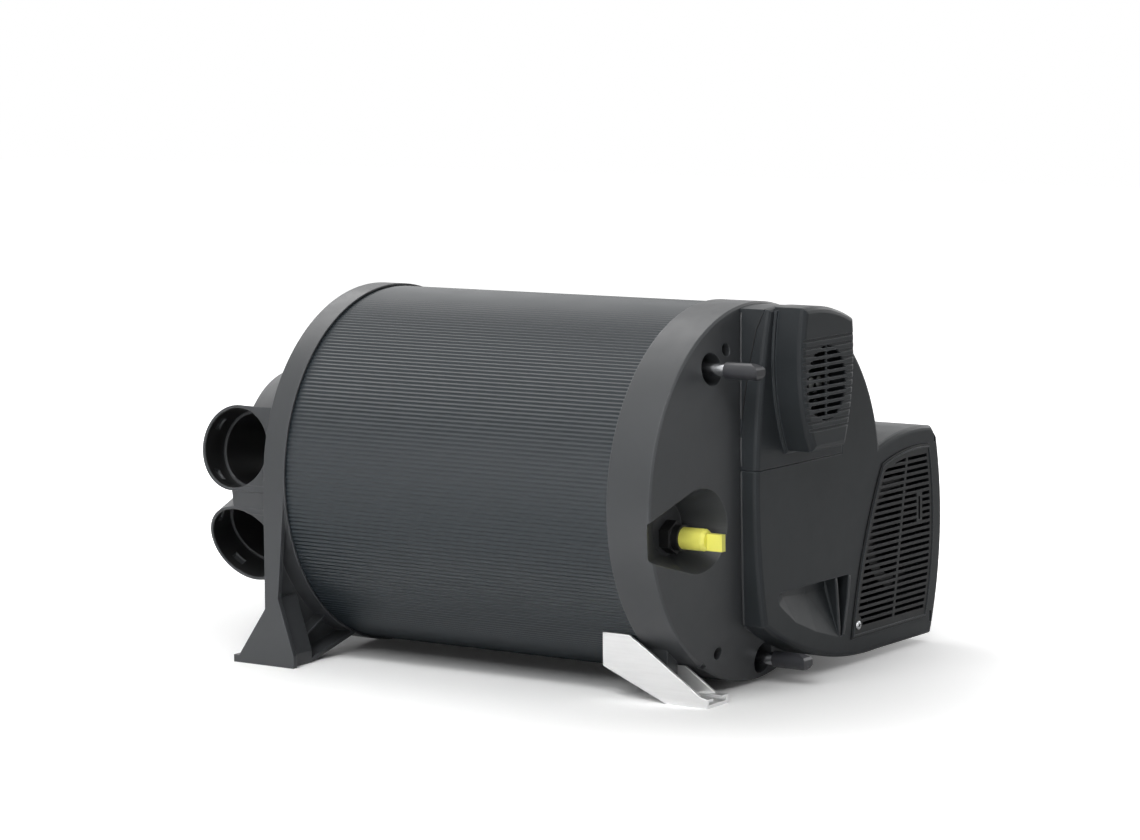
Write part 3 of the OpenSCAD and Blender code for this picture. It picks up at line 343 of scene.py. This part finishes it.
def outlet_linings_and_painted_shade():
    bm = bmesh.new()
    for side in (1, -1):
        for tilt in OUTLET_TILTS:
            lining_and_painted_shade(bm, side, tilt, DUCT_R - LINING_GAP, (0.5, 7.0, 13.0, DUCT_DEPTH - 0.1), WINDOWS)
            # Painted shade: a black tube in the throat behind the stop, where the inside is dark only with
            # shade
            lining_and_painted_shade(bm, side, tilt, STOP_R - LINING_GAP, (DUCT_DEPTH + 0.2, 40.0, 60.0, 82.0), ())
    bmesh.ops.recalc_face_normals(bm, faces=bm.faces)
    bmesh.ops.solidify(bm, geom=bm.faces[:], thickness=LINING_T * MM)
    piece("outlet_linings_and_painted_shade", bm, "black_plastic", "heater")


outlet_linings_and_painted_shade()

# A raised bead just inside the outline of the intake grille, as pairs of an inset and a rise; its lighter
# housing moulding colour is partly a painted highlight line against the black grille
BEAD = ((1.6, -0.3), (1.6, 0.25), (1.9, 0.6), (2.4, 0.72), (2.9, 0.6), (3.2, 0.25), (3.2, -0.3))
BEAD_STEPS = 240


def outline(node):
    """The outer edge of a plate's front face as points (y, z), and the face's x."""
    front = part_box(node)[1].x
    bm = welded(node)
    faces = {f for f in bm.faces if all(abs(v.co.x - front) < 1e-6 for v in f.verts)}
    links = {}
    for e in bm.edges:
        if sum(f in faces for f in e.link_faces) == 1:
            a, b = e.verts
            links.setdefault(a, []).append(b)
            links.setdefault(b, []).append(a)
    start = max(links, key=lambda v: v.co.y)
    loop, last, here = [start], None, start
    while True:
        ahead = [v for v in links[here] if v is not last][0]
        if ahead is start:
            break
        loop.append(ahead)
        last, here = here, ahead
    points = [Vector((v.co.y, v.co.z)) / MM for v in loop]
    bm.free()
    return points, front / MM


def even(points, count):
    """The same closed line with count points at equal steps."""
    closed = points + points[:1]
    lengths = [(b - a).length for a, b in zip(closed, closed[1:])]
    total, result, i, gone = sum(lengths), [], 0, 0.0
    for k in range(count):
        goal = total * k / count
        while gone + lengths[i] < goal:
            gone += lengths[i]
            i += 1
        result.append(closed[i].lerp(closed[i + 1], (goal - gone) / lengths[i]))
    return result


def grille_bead_with_painted_highlight():
    points, front = outline("intake_grille")
    points = even(points, BEAD_STEPS)
    middle = sum(points, Vector((0.0, 0.0))) / len(points)
    bm = bmesh.new()
    rows = []
    for i, p in enumerate(points):
        along = (points[(i + 1) % len(points)] - points[i - 1]).normalized()
        inward = Vector((-along.y, along.x))
        if inward.dot(middle - p) < 0:
            inward = -inward
        rows.append(ring_of(bm, [(front + rise, p.x + inward.x * inset, p.y + inward.y * inset)
                                 for inset, rise in BEAD]))
    for a, b in pairs(rows):
        skin(bm, a, b)
    # Painted highlight: the bead takes the lighter housing moulding so it reads as a light line on the
    # black grille
    piece("grille_bead_with_painted_highlight", bm, "housing", "heater")


grille_bead_with_painted_highlight()

# Thin strips: lips at the front cap's face, a seal along the cover's rear edge and rims at the hand grip;
# the lips and grip strips take the lighter grey moulding, partly as a painted highlight along the housing's
# edges
LIP_HALF, LIP_RISE, LIP_SINK, LIP_GAP = 0.9, 0.8, 0.2, 0.2
SEAL_HALF, SEAL_RISE, SEAL_SINK, SEAL_OVER, SEAL_STEP, SEAL_REACH = 0.4, 0.25, 0.05, 0.25, 0.05, 30.0
GRIP_HALF, GRIP_RISE, GRIP_SINK = 1.2, 1.1, 0.2
GRIP_RIB = ((80.5, 27.5), (75.5, 73.5))
GRIP_RIM = ((86.6, 27.5), (93.5, 54.3), (96.5, 73.5))
FADE_L, FADE_LEAST, ARC_STEPS = 4.0, 0.1, 8
AWAY, NEAR_Y, BESIDE, PASSES = 600.0, -20.0, 1.0, 4
ALONG = Vector((1.0, 0.0, 0.0))


def solid(node):
    bm = node_mesh(node)
    tree = BVHTree.FromBMesh(bm)
    bm.free()
    return tree


def near_side(tree, x, z):
    """The point, in metres, and the normal where a ray from the near side meets a solid."""
    return tree.ray_cast(Vector((x, -AWAY, z)) * MM, Vector((0.0, 1.0, 0.0)))[:2]


def lip_spots(node, low, high, steps=48):
    """Spots on the node's near side, just clear of the cap, between two heights."""
    side, cap = solid(node), solid("front_cap")
    spots = []
    for k in range(steps + 1):
        y, z = NEAR_Y, low + (high - low) * k / steps
        for _ in range(PASSES):
            face = cap.ray_cast(Vector((AWAY, y - BESIDE, z)) * MM, Vector((-1.0, 0.0, 0.0)))[0]
            x = face.x / MM + LIP_HALF + LIP_GAP
            at, normal = near_side(side, x, z)
            y = at.y / MM
        spots.append((Vector((x, y, z)), ALONG, normal))
    return spots


def seal_spots(lips):
    """Spots along the front edge of the housing's near side, where the cover begins."""
    side = solid("fan_housing")
    spots = []
    for lip, _, _ in lips:
        x, last = lip.x, None
        while x <= lip.x + SEAL_REACH:
            at, normal = near_side(side, x, lip.z)
            if at is None or at.y / MM > NEAR_Y:
                break
            last = (Vector((x + SEAL_OVER - SEAL_HALF, at.y / MM, lip.z)), ALONG, normal)
            x += SEAL_STEP
        spots.append(last)
    return spots


def face_spots(points, steps=24):
    """Spots along a line of points (y, z), from low to high, on the housing's front face."""
    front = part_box("fan_housing")[1].x / MM
    spots = []
    for k in range(steps + 1):
        place = k * (len(points) - 1) / steps
        i = min(int(place), len(points) - 2)
        a, b = Vector(points[i]), Vector(points[i + 1])
        p, d = a.lerp(b, place - i), (b - a).normalized()
        spots.append((Vector((front, p.x, p.y)), Vector((0.0, d.y, -d.x)), ALONG))
    return spots


def strip(name, spots, half, rise, sink, slot, body):
    """A half-round strip that fades out at its ends; a spot is a point, a direction across and a normal."""
    low, high = spots[0][0].z, spots[-1][0].z
    turns = [math.pi * i / ARC_STEPS for i in range(ARC_STEPS + 1)]
    bm = bmesh.new()
    rows = []
    for at, across, normal in spots:
        fade = min(1.0, FADE_LEAST + min(at.z - low, high - at.z) / FADE_L)
        arc = [(math.cos(a) * half, math.sin(a) * rise * fade) for a in turns]
        section = [(half, -sink)] + arc + [(-half, -sink)]
        rows.append(ring_of(bm, [at + across * p + normal * q for p, q in section]))
    for a, b in zip(rows, rows[1:]):
        skin(bm, a, b)
    bm.faces.new(rows[0])
    bm.faces.new(rows[-1])
    piece(name, bm, slot, body)


def edge_strips():
    # Painted highlight: lips and grip strips take the lighter grey moulding so they read as light lines on
    # the dark housing
    lip = (LIP_HALF, LIP_RISE, LIP_SINK, "moulding")
    grip = (GRIP_HALF, GRIP_RISE, GRIP_SINK, "moulding")
    upper = lip_spots("fan_housing", 212.0, 292.0)
    strip("housing_lip_lower_painted_highlight", lip_spots("fan_housing", 44.0, 172.0), *lip, "heater")
    strip("housing_lip_upper_painted_highlight", upper, *lip, "heater")
    strip("cover_lip_painted_highlight", lip_spots("electronics_cover", 176.0, 198.0), *lip, "electronics_cover")
    strip("cover_seal", seal_spots(upper), SEAL_HALF, SEAL_RISE, SEAL_SINK, "rubber", "heater")
    strip("grip_rib_painted_highlight", face_spots(GRIP_RIB), *grip, "heater")
    strip("grip_rim_painted_highlight", face_spots(GRIP_RIM), *grip, "heater")


edge_strips()

# Parts on the control board, under the electronics cover
BOARD_FACE = 412.6
FINS, FIN_STEP, FIN_T = 6, 4.2, 2.2
PINS, PIN_STEP, PIN_W = 7, 4.0, 2.3
CANS, CAN_STEP, CAN_Y, CAN_Z = 3, 12.0, 26.0, 234.5
CAN = ((0.0, 5.0), (1.0, 5.25), (2.2, 5.0), (11.6, 5.15), (12.3, 4.8))
CAN_TOP = ((12.0, 4.5), (12.45, 4.5), (12.6, 4.2))
# Each chip's y, z, width, height and thickness; the thick one is a relay without legs
CHIPS = ((27.0, 212.0, 14.0, 10.0, 1.8), (47.0, 200.0, 10.0, 14.0, 2.2), (30.0, 246.0, 16.0, 12.0, 11.0),
         (49.0, 218.0, 7.0, 6.0, 1.5))
LEGLESS_T, LEG_STEP, LEG_W, LEG_L, LEG_T, LEG_ROUND = 5.0, 1.6, 0.7, 1.0, 0.5, 0.08
RESISTORS, RESISTOR_Y, RESISTOR_Z, RESISTOR_STEP, RESISTOR_SHIFT = 10, 6.8, 189.6, 5.6, 1.6
RESISTOR_W, RESISTOR_H, RESISTOR_T, RESISTOR_END = 2.0, 1.3, 0.7, 0.5


def block(bm, low, high, round_r):
    """A box with rounded edges; x is measured from the board's face."""
    made = bmesh.ops.create_cube(bm, size=1.0)["verts"]
    size = [(b - a) * MM for a, b in zip(low, high)]
    middle = [((a + b) / 2 + c) * MM for a, b, c in zip(low, high, (BOARD_FACE, 0.0, 0.0))]
    for v in made:
        v.co = Vector([c * k + m for c, k, m in zip(v.co, size, middle)])
    edges = list({e for v in made for e in v.link_edges})
    bmesh.ops.bevel(bm, geom=edges, offset=round_r * MM, segments=2, affect="EDGES", profile=0.6)


def turned(bm, y, z, profile):
    """A closed round form along X from pairs of a height above the board and a radius."""
    loops = [circle(bm, BOARD_FACE + h, y, z, r) for h, r in profile]
    bm.faces.new(loops[0])
    bm.faces.new(loops[-1])
    for a, b in zip(loops, loops[1:]):
        skin(bm, a, b)


def heat_sink():
    bm = bmesh.new()
    block(bm, (0.0, -6.2, 210.3), (10.2, 18.2, 250.7), 0.4)
    for i in range(FINS):
        y = -5.6 + FIN_STEP * i
        block(bm, (10.0, y, 210.9), (16.0, y + FIN_T, 250.1), 0.3)
    piece("board_heat_sink", bm, "black_plastic", "heater")


def connector():
    bm = bmesh.new()
    block(bm, (0.0, 11.8, 196.3), (8.2, 42.2, 208.7), 0.5)
    for i in range(PINS):
        y = 13.6 + PIN_STEP * i
        block(bm, (8.0, y, 198.2), (10.4, y + PIN_W, 206.8), 0.3)
    piece("board_connector", bm, "ceramic", "heater")


def capacitors():
    cans, tops = bmesh.new(), bmesh.new()
    for i in range(CANS):
        turned(cans, CAN_Y + CAN_STEP * i, CAN_Z, CAN)
        turned(tops, CAN_Y + CAN_STEP * i, CAN_Z, CAN_TOP)
    piece("board_capacitors", cans, "black_plastic", "heater")
    piece("board_capacitor_tops", tops, "cast_alloy", "heater")


def chips():
    bodies, legs = bmesh.new(), bmesh.new()
    for y, z, w, h, t in CHIPS:
        block(bodies, (0.0, y, z), (t, y + w, z + h), 0.25)
        for k in range(int(w // LEG_STEP) if t < LEGLESS_T else 0):
            leg_y = y + 0.8 + LEG_STEP * k
            for leg_z in (z - LEG_L, z + h):
                block(legs, (0.0, leg_y, leg_z), (LEG_T, leg_y + LEG_W, leg_z + LEG_L), LEG_ROUND)
    for i in range(RESISTORS):
        y, z = RESISTOR_Y + RESISTOR_STEP * i, RESISTOR_Z + RESISTOR_SHIFT * ((i + 1) % 2)
        block(bodies, (0.0, y, z), (RESISTOR_T, y + RESISTOR_W, z + RESISTOR_H), 0.1)
        for end in (y - RESISTOR_END, y + RESISTOR_W):
            block(legs, (0.0, end, z), (LEG_T, end + RESISTOR_END, z + RESISTOR_H), LEG_ROUND)
    piece("board_chips", bodies, "black_plastic", "heater")
    piece("board_legs", legs, "steel", "heater")


heat_sink()
connector()
capacitors()
chips()

# Studio: a white background, a pale floor whose brightness rises outside an oval round the part, and lamps
WHITE = (1.0, 1.0, 1.0, 1.0)
FLOOR_COLOUR = (0.86, 0.86, 0.86, 1.0)
WORLD_DIM = 0.05
FLOOR_HALF, FLOOR_GLOSS = 6.0, 0.1
OVAL_AT, OVAL_TURN, OVAL_SCALE = (0.171, -0.054, 0.0), 34.9, (0.75, 1.0, 1.0)
LIFT_FROM, LIFT_TO = 0.22, 0.85


def background_rays(t, gloss):
    """One for rays that see the background, from the camera or a clear piece; gloss for a reflection."""
    path = t.add("ShaderNodeLightPath")
    seen = t.add("ShaderNodeMath", operation="MAXIMUM")
    t.link(path.outputs["Is Camera Ray"], seen.inputs[0])
    t.link(path.outputs["Is Transmission Ray"], seen.inputs[1])
    share = t.add("ShaderNodeMath", operation="MULTIPLY")
    t.link(path.outputs["Is Glossy Ray"], share.inputs[0])
    share.inputs[1].default_value = gloss
    shown = t.add("ShaderNodeMath", operation="MAXIMUM")
    t.link(seen.outputs[0], shown.inputs[0])
    t.link(share.outputs[0], shown.inputs[1])
    return shown.outputs[0]


def make_world():
    world = bpy.data.worlds.new("studio")
    scene.world = world
    world.use_nodes = True
    t = Tree(world.node_tree)
    out = t.add("ShaderNodeOutputWorld")
    dim = t.add("ShaderNodeBackground", in_Color=WHITE, in_Strength=WORLD_DIM)
    white = t.add("ShaderNodeBackground", in_Color=WHITE, in_Strength=1.0)
    mix = t.add("ShaderNodeMixShader")
    t.link(background_rays(t, 1.0), mix.inputs[0])
    t.link(dim.outputs[0], mix.inputs[1])
    t.link(white.outputs[0], mix.inputs[2])
    t.link(mix.outputs[0], out.inputs[0])


def floor_material():
    mat = bpy.data.materials.new("floor_white")
    mat.use_nodes = True
    t = Tree(mat.node_tree)
    out = t.add("ShaderNodeOutputMaterial")
    seen = background_rays(t, FLOOR_GLOSS)
    colour = t.add("ShaderNodeMix", data_type="RGBA")
    colour.inputs["A"].default_value = FLOOR_COLOUR
    colour.inputs["B"].default_value = WHITE
    t.link(seen, colour.inputs["Factor"])
    paint = t.add("ShaderNodeBsdfDiffuse")
    t.link(colour.outputs["Result"], paint.inputs["Color"])
    lift = t.add("ShaderNodeEmission", in_Color=WHITE)
    coord = t.add("ShaderNodeTexCoord")
    oval = t.add("ShaderNodeMapping", vector_type="TEXTURE", in_Location=OVAL_AT,
                 in_Rotation=(0.0, 0.0, math.radians(OVAL_TURN)), in_Scale=OVAL_SCALE)
    t.link(coord.outputs["Object"], oval.inputs["Vector"])
    away = t.add("ShaderNodeVectorMath", operation="LENGTH")
    t.link(oval.outputs[0], away.inputs[0])
    fade = t.add("ShaderNodeMapRange", interpolation_type="SMOOTHSTEP", in_From_Min=LIFT_FROM,
                 in_From_Max=LIFT_TO)
    t.link(away.outputs["Value"], fade.inputs["Value"])
    amount = t.add("ShaderNodeMath", operation="MULTIPLY")
    t.link(seen, amount.inputs[0])
    t.link(fade.outputs["Result"], amount.inputs[1])
    t.link(amount.outputs[0], lift.inputs["Strength"])
    both = t.add("ShaderNodeAddShader")
    t.link(paint.outputs[0], both.inputs[0])
    t.link(lift.outputs[0], both.inputs[1])
    t.link(both.outputs[0], out.inputs[0])
    return mat


def make_floor():
    mesh = bpy.data.meshes.new("floor")
    s = FLOOR_HALF
    mesh.from_pydata([(-s, -s, 0), (s, -s, 0), (s, s, 0), (-s, s, 0)], [], [(0, 1, 2, 3)])
    mesh.materials.append(floor_material())
    floor = bpy.data.objects.new("floor", mesh)
    scene.collection.objects.link(floor)


def lamp(name, place, aim, size, watts, spread=180.0):
    data = bpy.data.lights.new(name, "AREA")
    data.shape = "RECTANGLE"
    data.size, data.size_y = size
    data.energy = watts
    data.spread = math.radians(spread)
    obj = bpy.data.objects.new(name, data)
    scene.collection.objects.link(obj)
    obj.location = place
    obj.rotation_euler = (Vector(aim) - Vector(place)).to_track_quat("-Z", "Y").to_euler()


make_world()
make_floor()
lamp("key", (0.3, -2.0, 2.0), (0.2, 0.0, 0.15), (1.6, 1.2), 23.5)
lamp("edge", (1.45, -2.85, 0.45), (0.3, -0.05, 0.16), (0.5, 0.55), 11.0)
lamp("rim", (-1.4, 0.6, 1.9), (0.2, 0.0, 0.15), (1.8, 1.8), 23.5)
lamp("upper_end", (1.5, -1.2, 1.8), (0.36, -0.05, 0.15), (0.9, 0.9), 7.5)
lamp("far_side", (0.6, 2.4, 1.0), (0.2, 0.0, 0.15), (1.6, 1.0), 10.0)
lamp("wash_far", (0.0, 1.0, 1.3), (0.0, 0.72, 0.0), (1.0, 0.25), 1.2, spread=70.0)
lamp("wash_front", (0.1, -0.85, 1.3), (0.12, -0.58, 0.0), (1.0, 0.25), 2.8, spread=55.0)
